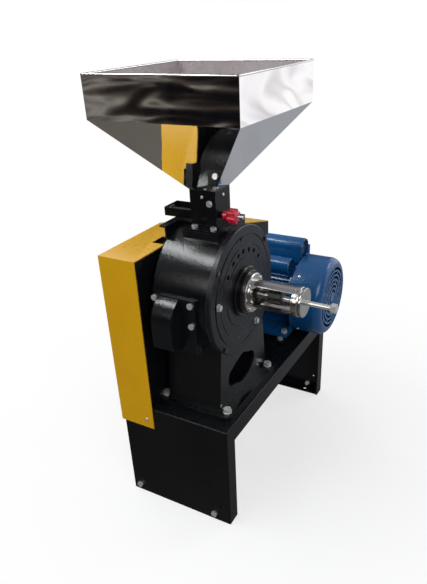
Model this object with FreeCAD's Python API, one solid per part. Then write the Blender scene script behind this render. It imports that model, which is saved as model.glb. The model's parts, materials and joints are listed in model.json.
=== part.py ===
import FreeCAD, Part
import math
import os

os.makedirs("parts", exist_ok=True)
V = FreeCAD.Vector

# ---------------------------------------------------------------- dimensions
# Bench (folded steel), built from its mill-end front bottom corner
bench_len, bench_dep, bench_h = 655.0, 300.0, 294.0
sheet = 5.0
top_lip = 46.0
leg_lip = 38.0
floor_lip = 36.0
floor_hole_r = 5.5
floor_hole_x, floor_hole_y = 615.0, 200.0

# Mill axis and casing
mill_x, mill_z = 173.0, 576.0
drum_r, drum_wall = 152.0, 12.0
drum_y0, drum_y1 = 50.0, 186.0
rear_wall = 10.0
part_y0, part_y1, eye_r = 84.0, 94.0, 46.0
cover_r, cover_y0 = 154.0, 36.0
hub_bore_r = 24.0
vent_pcr, vent_r = 97.0, 6.2
vent_angles = (37.5, 56.7, 73.4, 89.6, 103.8, 119.4, 139.3)

# Foot under the casing
foot_y0, foot_y1 = 42.0, 186.0
foot_top_hw, foot_bot_hw, foot_top_z = 108.0, 126.0, 472.0
foot_wall, foot_flange = 9.0, 12.0
foot_bolt_x, foot_bolt_y = 113.0, (30.0, 203.0)

# Nose with the adjusting screw
barrel_r, barrel_ri = 33.0, 25.0
barrel_y0, barrel_y1 = -95.0, 8.0
window_lo, window_hi = -17.0, 26.0
cap_y0 = -116.0
screw_r, screw_tip, screw_y0 = 6.0, -54.3, -176.0
collar_r, collar_y0, collar_y1 = 17.0, -62.0, -30.0

# Shaft, grinding discs and feed auger
shaft_r, nose_r, tail_r = 15.0, 11.0, 14.0
shaft_y0, shaft_y1 = -44.0, 286.0
disc_r, disc_ri = 118.0, 60.0
run_y0, run_y1 = 56.0, 64.0
ring_t = 8.0
fix_y0 = 76.5
run_fit = 0.05
body_gap = 0.35

# Throat, gate and hopper
thr_hw, thr_y0, thr_y1 = 32.0, 83.0, 148.0
thr_z0, thr_z1, thr_t = 735.0, 812.0, 3.0
gate_z, gate_t, gate_hw = 746.0, 3.0, 24.0
rod_x, rod_z, rod_r = 160.0, 757.0, 4.0
hop_hw, hop_z0, hop_z1, hop_t = 169.0, 970.0, 1054.0, 2.0
hop_cy = 117.0

# Side hood on the casing
hood_x, hood_y0, hood_y1 = -24.0, 112.0, 163.0
hood_top, hood_r, hood_t = 611.0, 56.0, 5.0

# Belt drive
pul_y, pul_w = 250.0, 35.0
mill_pul_r, mot_pul_r = 100.0, 42.0
belt_pitch, belt_gap = 15.0, 0.4
belt_top, belt_bot, belt_h = 12.4, 7.8, 8.0

# Belt guard
grd_x0, grd_x1 = -2.0, 676.0
grd_y0, grd_y1 = 208.0, 307.0
grd_z0, grd_z1, grd_zf = 235.0, 685.0, 569.0
grd_xs, grd_t = 240.0, 2.0

# Motor
mot_x, mot_z = 550.0, 410.0
mot_y0, mot_y1 = -56.0, 190.0
fancov_r, fancov_y1, fancov_t = 113.5, 34.0, 2.0
frame_r, fin_r, frame_y0, frame_y1 = 82.0, 95.0, 52.0, 172.0
stator_r = 75.0
mshaft_r = 12.0

# Whole-machine envelope, used to centre the origin under the machine
env_x0, env_x1 = hood_x, grd_x1
env_y0, env_y1 = -187.0, grd_y1 + 2.6
OX, OY = -(env_x0 + env_x1) / 2.0, -(env_y0 + env_y1) / 2.0

X1, Y1, Z1 = V(1, 0, 0), V(0, 1, 0), V(0, 0, 1)


# ---------------------------------------------------------------- helpers
def box(x0, y0, z0, x1, y1, z1):
    return Part.makeBox(x1 - x0, y1 - y0, z1 - z0, V(x0, y0, z0))


def cyl(r, p, d, h):
    return Part.makeCylinder(r, h, V(*p), d)


def cy(x, z, r, y0, y1):
    return Part.makeCylinder(r, y1 - y0, V(x, y0, z), Y1)


def ring(x, z, r0, r1, y0, y1):
    return cy(x, z, r1, y0, y1).cut(cy(x, z, r0, y0 - 1, y1 + 1))


def prism_xz(pts, y0, y1):
    w = Part.makePolygon([V(a, y0, b) for a, b in pts] + [V(pts[0][0], y0, pts[0][1])])
    return Part.Face(w).extrude(V(0, y1 - y0, 0))


def prism_yz(pts, x0, x1):
    w = Part.makePolygon([V(x0, a, b) for a, b in pts] + [V(x0, pts[0][0], pts[0][1])])
    return Part.Face(w).extrude(V(x1 - x0, 0, 0))


def prism_xy(pts, z0, z1):
    w = Part.makePolygon([V(a, b, z0) for a, b in pts] + [V(pts[0][0], pts[0][1], z0)])
    return Part.Face(w).extrude(V(0, 0, z1 - z0))


def lathe_y(x, z, prof):
    # prof holds (radius, y) points of a closed section turned about the Y line through x, z
    w = Part.makePolygon([V(x + r, y, z) for r, y in prof] + [V(x + prof[0][0], prof[0][1], z)])
    s = Part.Face(w).revolve(V(x, 0, z), Y1, 360)
    return s


def fuse(lst):
    s = lst[0]
    if len(lst) > 1:
        s = s.multiFuse(lst[1:])
    return s.removeSplitter()


def hexa(af, p, d, h, rot=0.0):
    # hexagonal prism, across flats af, from p along unit vector d
    d = V(*d)
    a = V(0, 0, 1) if abs(d.z) < 0.9 else V(1, 0, 0)
    u = d.cross(a).normalize()
    w = d.cross(u).normalize()
    r = af / math.sqrt(3.0)
    pts = []
    for i in range(6):
        t = math.radians(rot + 60 * i)
        pts.append(V(*p) + u * (r * math.cos(t)) + w * (r * math.sin(t)))
    f = Part.Face(Part.makePolygon(pts + [pts[0]]))
    s = f.extrude(d * h)
    c = Part.makeCone(af / 2.0 * 1.02 + h * 1.7, af / 2.0 * 1.02, h, V(*p), d)
    return s.common(c)


def bolt(r, p, d, shank, af=None, head=None, rot=0.0):
    # hexagon bolt: the seat of the head is at p, the head stands out along d
    d = V(*d)
    af = af or 1.62 * 2 * r
    head = head or 1.3 * r
    h = hexa(af, p, (d.x, d.y, d.z), head, rot)
    s = Part.makeCylinder(r, shank, V(*p) - d * shank, d)
    return h.fuse(s).removeSplitter()


def washer(r0, r1, t, p, d):
    d = V(*d)
    a = Part.makeCylinder(r1, t, V(*p), d)
    return a.cut(Part.makeCylinder(r0, t + 2, V(*p) - d, d))


def nut(r, p, d, af=None, h=None, rot=0.0):
    af = af or 1.62 * 2 * r
    h = h or 1.6 * r
    s = hexa(af, p, d, h, rot)
    return s.cut(Part.makeCylinder(r, h + 2, V(*p) - V(*d), V(*d)))


def pan(r, p, d, shank, hr=None, hh=None):
    # round-headed screw
    d = V(*d)
    hr = hr or 1.9 * r
    hh = hh or 1.1 * r
    s = Part.makeCylinder(hr, hh, V(*p), d)
    try:
        top = [e for e in s.Edges if len(e.Vertexes) == 1 and abs((e.CenterOfMass - V(*p)).dot(d) - hh) < 1e-6]
        s = s.makeFillet(hh * 0.6, top)
    except Exception:
        pass
    return s.fuse(Part.makeCylinder(r, shank, V(*p) - d * shank, d)).removeSplitter()


made = []
group = {}


def out(name, shapes):
    """Adds solids to a node; like fasteners share one node."""
    if not isinstance(shapes, (list, tuple)):
        shapes = [shapes]
    for s in shapes:
        group.setdefault(name, []).extend(x for x in s.Solids if x.Volume > 0.5)


def write():
    """Writes one STEP file for each node, moved to the frame of the part."""
    for name, sol in group.items():
        sh = (sol[0] if len(sol) == 1 else Part.makeCompound(sol)).copy()
        sh.translate(V(OX, OY, 0))
        bad = [s for s in sol if not s.isValid()]
        sh.exportStep("parts/" + name + ".step")
        bb = sh.BoundBox
        made.append((name, len(sol), bb))
        print("%-24s solids %2d vol %9.0f %s x %.1f..%.1f y %.1f..%.1f z %.1f..%.1f" % (
            name, len(sol), sum(s.Volume for s in sol), "BAD" if bad else "ok",
            bb.XMin, bb.XMax, bb.YMin, bb.YMax, bb.ZMin, bb.ZMax))


# ---------------------------------------------------------------- bench
L, D, H, s = bench_len, bench_dep, bench_h, sheet
top = box(s, 0, H - s, L - s, D, H)
top = top.fuse([box(leg_lip, 0, H - top_lip, L - leg_lip, s, H - s), box(leg_lip, D - s, H - top_lip, L - leg_lip, D, H - s),
                box(s, 0, H - top_lip, leg_lip, s, H - s), box(L - leg_lip, 0, H - top_lip, L - s, s, H - s),
                box(s, D - s, H - top_lip, leg_lip, D, H - s), box(L - leg_lip, D - s, H - top_lip, L - s, D, H - s)]).removeSplitter()
fold = [e for e in top.Edges if e.BoundBox.XLength > 400 and abs(e.BoundBox.ZMin - H) < 1e-3 and (e.BoundBox.YMax < 1e-3 or e.BoundBox.YMin > D - 1e-3)]
top = top.makeFillet(4.0, fold)
outlet = box(mill_x - 72, 56, H - 20, mill_x - 12, 166, H + 20)
top = top.cut(outlet)
for bx in (mill_x - foot_bolt_x, mill_x + foot_bolt_x):
    for by in foot_bolt_y:
        top = top.cut(cyl(5.6, (bx, by, H - 20), Z1, 40))
rail_y = ((43.0, 69.0), (130.0, 162.0))
rail_x0, rail_x1, rail_h = 418.0, 650.0, 10.0
rail_bolt = [(x, (a + b) / 2.0) for x in (rail_x0 + 12, mot_x) for a, b in rail_y]
foot_hole = ((-91.0, -107.0), (87.0, 100.0))
for bx, by in rail_bolt:
    top = top.cut(cyl(4.6, (bx, by, H - 20), Z1, 40))
out("bench_top", top)


def leg(mirror):
    x = 0.0
    parts = [box(0, 0, 0, s, D, H)]
    parts += [box(s, 0, 0, leg_lip, s, H - top_lip), box(s, D - s, 0, leg_lip, D, H - top_lip)]
    parts += [box(s, s, 0, floor_lip, D - s, 4.0)]
    g = fuse(parts).removeSplitter()
    fold = [e for e in g.Edges if e.BoundBox.ZLength > 200 and e.BoundBox.XMax < 1e-3 and (e.BoundBox.YMax < 1e-3 or e.BoundBox.YMin > D - 1e-3)]
    fold += [e for e in g.Edges if e.BoundBox.YLength > 250 and e.BoundBox.XMax < 1e-3 and e.BoundBox.ZMin > H - 1e-3]
    g = g.makeFillet(3.0, fold)
    for y in (D / 2 - floor_hole_y / 2, D / 2 + floor_hole_y / 2):
        g = g.cut(cyl(floor_hole_r, ((L - floor_hole_x) / 2, y, -2), Z1, 10))
    for y in (46.0, 279.0):
        g = g.cut(cyl(5.05, (-2, y, 18.5), X1, 10))
    for y in (27.0, 256.0):
        g = g.cut(cyl(3.2, (-2, y, 50.0), X1, 10))
    if mirror:
        g = g.mirror(V(L / 2.0, 0, 0), X1)
    else:
        g = g.cut(cyl(2.6, (-2, 227.0, 260.0), X1, 10))
    return g


out("leg_mill_end", leg(False))
out("leg_motor_end", leg(True))
lb, ln = [], []
for y in (46.0, 279.0):
    lb.append(bolt(5.0, (0, y, 18.5), (-1, 0, 0), 18.0, 15.0, 5.5, 15))
    ln.append(nut(5.0, (s, y, 18.5), (1, 0, 0), 15.0, 7.0))
    lb.append(bolt(5.0, (L, y, 18.5), (1, 0, 0), 18.0, 15.0, 5.5, 15))
    ln.append(nut(5.0, (L - s, y, 18.5), (-1, 0, 0), 15.0, 7.0))
out("leg_bolts", lb)
out("leg_bolts", ln)

# ---------------------------------------------------------------- mill casing
mx, mz = mill_x, mill_z
drum = cy(mx, mz, drum_r, drum_y0, drum_y1)
saddle = box(mx - 66, 66, mz + 60, mx + 70, 150, 730)
pad = box(19.0, 70, 482, 90, 180, 612)
drum = drum.fuse([saddle, pad])
drum = drum.cut(cy(mx, mz, drum_r - drum_wall, drum_y0 - 1, part_y0))
drum = drum.cut(cy(mx, mz, drum_r - drum_wall, part_y1, drum_y1 - rear_wall))
drum = drum.cut(cy(mx, mz, eye_r + 14.0, part_y0 - 1, part_y1 + 1))
drum = drum.cut(cy(mx, mz, hub_bore_r + 8.0, drum_y1 - rear_wall - 1, drum_y1 + 1))
drum = drum.cut(box(mx - 29, 86, mz + 100, mx + 29, 145, 740))
drum = drum.cut(box(mx - 78, drum_y0 - 1, mz - 170, mx + 78, part_y0 - 2, mz - 100))
drum = drum.cut(box(10, 118, 507, 70, 157, 590))
flange_bolts = [(mx - 54, 79.0), (mx - 54, 126.0), (mx + 52, 79.0), (mx + 52, 126.0)]
for bx, by in flange_bolts:
    drum = drum.cut(cyl(4.0, (bx, by, 712), Z1, 30))
hood_bolts = [(82.0, 600.0), (82.0, 551.0), (173.0, 604.0), (173.0, 551.0)]
for by, bz in hood_bolts:
    drum = drum.cut(cyl(4.0, (18.0, by, bz), X1, 16))
cover_bolt_pos = [(math.radians(a), 146.0) for a in (143.0, 228.0, 323.0, 37.0)]
for t, r in cover_bolt_pos:
    drum = drum.cut(cy(mx + r * math.cos(t), mz + r * math.sin(t), 3.0, drum_y0 - 1, drum_y0 + 14))
drum = drum.removeSplitter()
out("casing_drum", drum)

# fixed eye insert that carries the fixed grinding ring
eye = ring(mx, mz, eye_r, eye_r + 14.0, part_y0, part_y1)
out("eye_insert", eye)

# foot casting
z0 = H
prof = [(mx - foot_bot_hw, z0), (mx + foot_bot_hw, z0), (mx + foot_top_hw, foot_top_z), (mx - foot_top_hw, foot_top_z)]
w = foot_wall
inner = [(mx - foot_bot_hw + w, z0 - 5), (mx + foot_bot_hw - w, z0 - 5), (mx + foot_top_hw - w, foot_top_z + 5), (mx - foot_top_hw + w, foot_top_z + 5)]
foot = prism_xz(prof, foot_y0, foot_y1)
foot = foot.cut(prism_xz(inner, foot_y0 + w, foot_y1 - w))
flange = prism_xy([(mx - 138, 14), (mx + 138, 14), (mx + 138, 222), (mx - 138, 222)], H, H + foot_flange)
flange = flange.cut(box(mx - foot_bot_hw + w, foot_y0 + w, H - 2, mx + foot_bot_hw - w, foot_y1 - w, H + 30))
vert = [e for e in flange.Edges if abs(e.BoundBox.ZLength - foot_flange) < 1e-3 and e.BoundBox.XLength < 1e-3 and (abs(e.BoundBox.XMin - mx) > 130)]
flange = flange.makeFillet(16.0, vert)
slide = prism_xz([(mx - 13, H), (mx + 6, H), (mx + 122, 386), (mx + 122, 396)], foot_y0 + 2, foot_y1 - 2)
slide = slide.common(prism_xz(prof, foot_y0, foot_y1))
foot = foot.fuse([flange, slide])
foot = foot.cut(cy(mx, mz, cover_r + 0.3, 20, drum_y0 + 0.3))
foot = foot.cut(cy(mx, mz, drum_r, drum_y0, drum_y1 + 10))
foot = foot.cut(box(18.9, 70, 481.9, 91, 180, 613))
win = [(219, 388), (229, 378), (232, 366), (224, 350), (210, 340), (189, 333), (172, 330), (156, 330), (140, 336), (126, 343), (110, 347), (101, 352),
       (95, 362), (94, 374), (98, 385), (106, 391), (116, 394), (131, 400), (147, 404), (160, 407), (174, 407), (190, 400), (205, 393)]
wire = Part.BSplineCurve()
wire.interpolate([V(a, foot_y0 - 5, b) for a, b in win], PeriodicFlag=True)
foot = foot.cut(Part.Face(Part.Wire([wire.toShape()])).extrude(V(0, w + 8, 0)))
for bx in (mx - foot_bolt_x, mx + foot_bolt_x):
    for by in foot_bolt_y:
        foot = foot.cut(cyl(5.6, (bx, by, H - 2), Z1, 30))
foot = foot.removeSplitter()
out("casing_foot", foot)
fb, fw, fn = [], [], []
for bx in (mx - foot_bolt_x, mx + foot_bolt_x):
    for by in foot_bolt_y:
        fw.append(washer(5.6, 11.0, 2.0, (bx, by, H + foot_flange), (0, 0, 1)))
        fb.append(bolt(5.5, (bx, by, H + foot_flange + 2), (0, 0, 1), 30.0, 18.0, 8.0, 10))
        fn.append(nut(5.5, (bx, by, H - s), (0, 0, -1), 18.0, 8.0))
out("foot_bolts", fb)
out("foot_bolts", fw)
out("foot_bolts", fn)

# front cover: turned rings, vents and the stepped hub
c0 = cover_y0
prof = [(hub_bore_r, drum_y0), (hub_bore_r, 18.0), (50.0, 18.0), (52.0, 20.0), (52.0, 27.0), (58.0, 27.0), (60.0, 29.0), (60.0, c0 - 1.0),
        (83.0, c0 - 1.0), (83.0, c0 + 2.0), (86.0, c0 + 2.0), (86.0, c0), (109.5, c0), (109.5, c0 + 2.0), (112.5, c0 + 2.0), (112.5, c0 + 0.5),
        (130.0, c0 + 0.5), (130.0, c0 + 4.0), (134.5, c0 + 4.0), (134.5, c0 + 1.5), (cover_r - 2, c0 + 1.5), (cover_r, c0 + 3.5), (cover_r, drum_y0)]
cover = lathe_y(mx, mz, prof)
for a in vent_angles:
    t = math.radians(a)
    cover = cover.cut(cy(mx + vent_pcr * math.cos(t), mz + vent_pcr * math.sin(t), vent_r, 20, 60))
for t, r in cover_bolt_pos:
    cover = cover.cut(cy(mx + r * math.cos(t), mz + r * math.sin(t), 3.2, 20, 60))
clamp_pos = [(math.radians(a), 122.0) for a in (174.5, -61.0)]
for t, r in clamp_pos:
    cover = cover.cut(cy(mx + r * math.cos(t), mz + r * math.sin(t), 4.1, 20, 60))
nose_screws = [(math.radians(a), 40.0) for a in (45, 135, 225, 315)]
for t, r in nose_screws:
    cover = cover.cut(cy(mx + r * math.cos(t), mz + r * math.sin(t), 2.6, 10, 32))
# short cast lug and jacking recess on the face
cover = cover.cut(cy(mx + 128 * math.cos(math.radians(94)), mz + 128 * math.sin(math.radians(94)), 4.5, 20, c0 + 5))
out("front_cover", cover)
cb = []
for t, r in cover_bolt_pos:
    cb.append(bolt(3.0, (mx + r * math.cos(t), c0 + 1.5, mz + r * math.sin(t)), (0, -1, 0), 26.0, 10.0, 4.0, 20))
out("cover_bolts", cb)
cb, cn = [], []
for t, r in clamp_pos:
    cb.append(washer(4.1, 8.5, 1.6, (mx + r * math.cos(t), c0 + 0.5, mz + r * math.sin(t)), (0, -1, 0)))
    cn.append(bolt(4.0, (mx + r * math.cos(t), c0 - 1.1, mz + r * math.sin(t)), (0, -1, 0), 19.0, 13.0, 5.5, 20))
out("clamp_bolts", cb)
out("clamp_bolts", cn)

# front bush and seal
out("mill_bushes", ring(mx, mz, shaft_r + run_fit, hub_bore_r, 20.0, 48.0))
# rear bearing housing and bush
rh = lathe_y(mx, mz, [(hub_bore_r, 172.0), (hub_bore_r + 8.0, 172.0), (hub_bore_r + 8.0, drum_y1), (52.0, drum_y1), (52.0, 196.0), (40.0, 204.0), (hub_bore_r, 204.0)])
for a in (45, 135, 225, 315):
    t = math.radians(a)
    rh = rh.cut(cy(mx + 44 * math.cos(t), mz + 44 * math.sin(t), 3.2, 180, 210)).cut(cy(mx + 44 * math.cos(t), mz + 44 * math.sin(t), 5.7, 201.35, 210))
out("rear_bearing_housing", rh)
out("mill_bushes", ring(mx, mz, shaft_r + run_fit, hub_bore_r, 174.0, 203.0))
rs = []
for a in (45, 135, 225, 315):
    t = math.radians(a)
    rs.append(bolt(3.1, (mx + 44 * math.cos(t), 201.4, mz + 44 * math.sin(t)), (0, 1, 0), 14.0, 9.0, 3.6))
out("casing_bolts", rs)

# bracket behind the casing that carries the guard back plate
br = box(95, 186.0, 640, 251, 190.0, 733).cut(cy(mx, mz, 54, 180, 200))
br = br.fuse(box(95, 186.0, 733, 251, 204.0, 737)).removeSplitter()
out("casing_bracket", br)

# ---------------------------------------------------------------- nose
fl = ring(mx, mz, barrel_ri, 47.0, 8.0, 18.0)
bar = ring(mx, mz, barrel_ri, barrel_r, barrel_y0, 9.0)
fl = fl.fuse(bar).removeSplitter()
fl = fl.cut(box(mx - 60, barrel_y0 + 3, mz + window_lo, mx + 60, 3.0, mz + window_hi))
edge = [e for e in fl.Edges if len(e.Vertexes) == 1 and abs(e.BoundBox.YMin - 8.0) < 1e-4 and abs(e.BoundBox.XLength - 94) < 0.1]
try:
    fl = fl.makeChamfer(2.5, edge)
except Exception:
    pass
for t, r in nose_screws:
    fl = fl.cut(cy(mx + r * math.cos(t), mz + r * math.sin(t), 3.0, 0, 20))
out("adjuster_barrel", fl)
ns = [pan(2.5, (mx + r * math.cos(t), 8.0, mz + r * math.sin(t)), (0, -1, 0), 20.0, 4.4, 3.0) for t, r in nose_screws]
out("barrel_screws", ns)
capp = lathe_y(mx, mz, [(screw_r + 0.1, barrel_y0), (34.6, barrel_y0), (34.6, -106.0), (33.0, -107.0), (33.0, -109.0), (33.8, -110.0), (33.8, cap_y0 + 1.2), (32.6, cap_y0), (screw_r + 0.1, cap_y0)])
out("adjuster_end_cap", capp)

# ---------------------------------------------------------------- adjusting screw and thrust collar
scr = cy(mx, mz, screw_r, screw_y0, screw_tip)
scr = scr.fuse(hexa(19.0, (mx, screw_y0 + 1.0, mz), (0, -1, 0), 12.0, 12.0)).removeSplitter()
out("adjusting_screw", scr)
col = lathe_y(mx, mz, [(0.0, -53.9), (screw_r + run_fit, -53.9), (screw_r + run_fit, collar_y0), (collar_r - 1.5, collar_y0), (collar_r, collar_y0 + 1.5),
                       (collar_r, collar_y1 - 1.5), (collar_r - 1.5, collar_y1), (nose_r + run_fit, collar_y1), (nose_r + run_fit, -50.0), (0.0, -50.0)])
out("thrust_collar", col)
ball = Part.makeSphere(2.8, V(mx, -47.2, mz))
out("thrust_collar", ball)

# ---------------------------------------------------------------- mill rotor
sh = lathe_y(mx, mz, [(0.0, shaft_y0), (nose_r - 1, shaft_y0), (nose_r, shaft_y0 + 1), (nose_r, 10.0), (shaft_r, 11.0), (shaft_r, 214.0), (tail_r, 215.0), (tail_r, shaft_y1 - 1), (tail_r - 1, shaft_y1), (0.0, shaft_y1)])
sh = sh.cut(box(mx - 4, 226, mz + tail_r - 4.0, mx + 4, 276, mz + 20))
out("mill_shaft", sh)
out("shaft_key", box(mx - 4, 226, mz + tail_r - 4.0, mx + 4, 276, mz + tail_r + 3.0))
carrier = lathe_y(mx, mz, [(shaft_r, run_y0 - 3.0), (30.0, run_y0 - 3.0), (30.0, run_y0), (disc_r - 2, run_y0), (disc_r - 2, run_y1), (shaft_r, run_y1)])
out("running_disc_carrier", carrier)


def burr(y0, y1, face_y, depth):
    b = ring(mx, mz, disc_ri, disc_r, y0, y1)
    cut = []
    n = 24
    ya, yb = (face_y - depth, face_y + 1) if face_y == y1 else (face_y - 1, face_y + depth)
    for i in range(n):
        a = 2 * math.pi * i / n
        g = box(disc_ri - 4, ya, -1.6, disc_r + 6, yb, 1.6)
        g.rotate(V(disc_ri, 0, 0), V(0, 1, 0), 18)
        g.rotate(V(0, 0, 0), V(0, 1, 0), -math.degrees(a))
        g.translate(V(mx, 0, mz))
        cut.append(g)
    return b.cut(cut)


out("running_ring", burr(run_y1, run_y1 + ring_t, run_y1 + ring_t, 2.5))
out("fixed_ring", burr(fix_y0, part_y0, fix_y0, 2.5))

# feed auger: hub tube with a helical flight
aug_y0, aug_y1, aug_r, hub_r, pitch = 74.0, 142.0, 40.0, 21.0, 32.0
hub = ring(mx, mz, shaft_r, hub_r, run_y1, aug_y1)


def flight(r0, r1, lead, length, th, n=30):
    # helicoid of triangular facets about the Z line, from z = 0
    cnt = int(n * length / lead)

    def quad(k):
        a = 2 * math.pi * k / n
        c_, s_ = math.cos(a), math.sin(a)
        zz = lead * k / n
        return [V(r0 * c_, r0 * s_, zz), V(r1 * c_, r1 * s_, zz), V(r1 * c_, r1 * s_, zz + th), V(r0 * c_, r0 * s_, zz + th)]

    def face(*p):
        return Part.Face(Part.makePolygon(list(p) + [p[0]]))

    fs = [face(*quad(0)), face(*quad(cnt))]
    for k in range(cnt):
        A, B = quad(k), quad(k + 1)
        for i in range(4):
            j = (i + 1) % 4
            fs += [face(A[i], A[j], B[j]), face(A[i], B[j], B[i])]
    so = Part.makeSolid(Part.makeShell(fs))
    if so.Volume < 0:
        so.reverse()
    return so


fl_ = flight(hub_r - 3.0, aug_r, pitch, aug_y1 - aug_y0 - 6.0, 4.0)
fl_.rotate(V(0, 0, 0), X1, -90)
fl_.translate(V(mx, aug_y0 + 1.0, mz))
aug = hub.fuse(fl_)
out("feed_auger", aug)

# feed chute inside the casing
ch = ring(mx, mz, eye_r, eye_r + 6, part_y1, 150)
ch = ch.fuse([cy(mx, mz, eye_r + 6, 150, 156), box(mx - 35, part_y1, mz, mx + 35, 151, mz + 128)])
ch = ch.cut(cy(mx, mz, eye_r, part_y1 - 1, 150))
ch = ch.cut(cy(mx, mz, shaft_r + 1.0, 140, 160))
ch = ch.cut(box(mx - 29, part_y1 + 5, mz, mx + 29, 145, mz + 140))
ch = ch.common(cy(mx, mz, drum_r - drum_wall - 0.0, 80, 160))
out("feed_chute", ch)

# ---------------------------------------------------------------- side hood
def hood_solid(off, ya, yb):
    xo, zt, r = hood_x + off, hood_top - off, hood_r - off * 0.5
    zb_out, zb_in = 500.0 - (0 if off == 0 else 20), 474.0 - (0 if off == 0 else 20)
    pts = [V(xo, ya, zb_out), V(xo, ya, zt - r)]
    a1 = V(xo + r * (1 - math.cos(math.pi / 4)), ya, zt - r + r * math.sin(math.pi / 4))
    e = [Part.makeLine(pts[0], pts[1]), Part.Arc(pts[1], a1, V(xo + r, ya, zt)).toShape(),
         Part.makeLine(V(xo + r, ya, zt), V(40.0, ya, zt)), Part.makeLine(V(40.0, ya, zt), V(40.0, ya, zb_in)), Part.makeLine(V(40.0, ya, zb_in), pts[0])]
    return Part.Face(Part.Wire(e)).extrude(V(0, yb - ya, 0))


hood = hood_solid(0, hood_y0, hood_y1)
hood = hood.fuse(prism_yz([(72, 482), (180, 482), (180, 612), (72, 612)], 13.0, 19.0))
hood = hood.cut(hood_solid(hood_t, hood_y0 + hood_t, hood_y1 - hood_t))
hood = hood.cut(box(19.0, 60, 460, 40, 190, 620))
for by, bz in hood_bolts:
    hood = hood.cut(cyl(4.1, (10.0, by, bz), X1, 16))
hood = hood.removeSplitter()
out("side_hood", hood)
out("casing_bolts", [bolt(3.9, (13.0, by, bz), (-1, 0, 0), 18.0, 13.0, 5.5, 20) for by, bz in hood_bolts])

# ---------------------------------------------------------------- throat, gate, hopper
fl = box(mx - 66, 66, 730, mx + 70, 146, thr_z0)
fl = fl.fuse(box(mx - thr_hw, thr_y0, thr_z0, mx + thr_hw, thr_y1, thr_z1))
fl = fl.cut(box(mx - thr_hw + thr_t, thr_y0 + thr_t, 725, mx + thr_hw - thr_t, thr_y1 - thr_t, thr_z1 + 5))
for bx, by in flange_bolts:
    fl = fl.cut(cyl(4.1, (bx, by, 725), Z1, 14))
fl = fl.cut(box(mx - gate_hw - 0.6, thr_y1 - thr_t - 1, gate_z - 0.6, mx + gate_hw + 0.6, thr_y1 + 1, gate_z + gate_t + 0.5))
fl = fl.cut(cy(rod_x, rod_z, rod_r + 0.1, thr_y0 - 2, thr_y0 + thr_t + 1)).cut(cy(rod_x, rod_z, rod_r + 1.0, thr_y1 - thr_t - 1, thr_y1 + 1))
scr_pos = [((mx - thr_hw, 117.0, 797.0), (-1, 0, 0)), ((mx + thr_hw, 117.0, 797.0), (1, 0, 0)), ((174.0, thr_y0, 798.0), (0, -1, 0)), ((174.0, thr_y1, 798.0), (0, 1, 0))]
for p, d in scr_pos:
    fl = fl.cut(cyl(2.0, (p[0] - d[0] * 5, p[1] - d[1] * 5, p[2]), V(*d), 10))
fl = fl.cut(cyl(3.1, (mx - thr_hw - 2, 99.0, 784.0), X1, 8)).cut(cyl(3.1, (mx + thr_hw - 5, 99.0, 784.0), X1, 8))
fl = fl.removeSplitter()
out("throat_box", fl)
out("throat_bolts", [bolt(3.9, (bx, by, thr_z0), (0, 0, 1), 20.0, 13.0, 5.5, 10) for bx, by in flange_bolts])
out("throat_bolts", [pan(1.9, p, d, 4.5, 3.6, 2.2) for p, d in scr_pos])
tb = []
for sx in (-1, 1):
    x = mx + sx * thr_hw
    tb.append(washer(3.1, 7.5, 1.4, (x, 99.0, 784.0), (sx, 0, 0)))
out("throat_bolts", tb)
out("throat_bolts", [bolt(3.0, (mx + sx * (thr_hw + 1.4), 99.0, 784.0), (sx, 0, 0), 7.0, 10.0, 4.2, 10) for sx in (-1, 1)])

# gate guides inside the throat
gg = box(mx - thr_hw + thr_t, thr_y0 + thr_t, gate_z - 4.5, mx + thr_hw - thr_t, thr_y1 - thr_t, gate_z - 0.35)
gg = gg.cut(box(mx - 20, thr_y0 + thr_t + 9, 700, mx + 20, 200, 800))
out("gate_guide", gg)
tray = box(mx - 27, thr_y1, 743, mx + 27, 222, 763).cut(box(mx - 25, thr_y1 - 1, 745, mx + 25, 220, 770))
out("gate_guide", tray)
bs = cy(rod_x, rod_z, 7.0, 75.4, thr_y0).cut(cy(rod_x, rod_z, rod_r + 0.1, 70, 90))
out("gate_guide", bs)
gp = box(mx - gate_hw, thr_y1 + 1.0, gate_z, mx + gate_hw, 213.0, gate_z + gate_t)
gp = gp.fuse(box(rod_x - 9, 207.0, gate_z + gate_t, rod_x + 9, 213.0, 763.0)).removeSplitter()
gp = gp.cut(cy(rod_x, rod_z, rod_r + 0.08, 200, 220))
out("gate_plate", gp)
rod = cy(rod_x, rod_z, rod_r, 27.0, 217.0).fuse(cy(rod_x, rod_z, 7.0, thr_y0 + thr_t + 0.35, thr_y0 + thr_t + 4)).removeSplitter()
out("gate_rod", rod)
kn = lathe_y(rod_x, rod_z, [(rod_r, 41.0), (9.0, 41.0), (12.5, 43.0), (13.5, 46.0), (13.0, 56.0), (10.5, 61.0), (9.0, 65.0), (9.5, 74.0), (8.5, 75.0), (rod_r, 75.0)])
lob = []
for i in range(6):
    t = math.radians(60 * i + 15)
    q = cy(rod_x + 12.2 * math.cos(t), rod_z + 12.2 * math.sin(t), 4.8, 42.0, 62.0)
    try:
        q = q.makeFillet(2.2, [e for e in q.Edges if len(e.Vertexes) == 1])
    except Exception:
        pass
    lob.append(q)
kn = kn.fuse(lob).cut(cy(rod_x, rod_z, rod_r, 20, 90)).removeSplitter()
out("gate_knob", kn)


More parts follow.
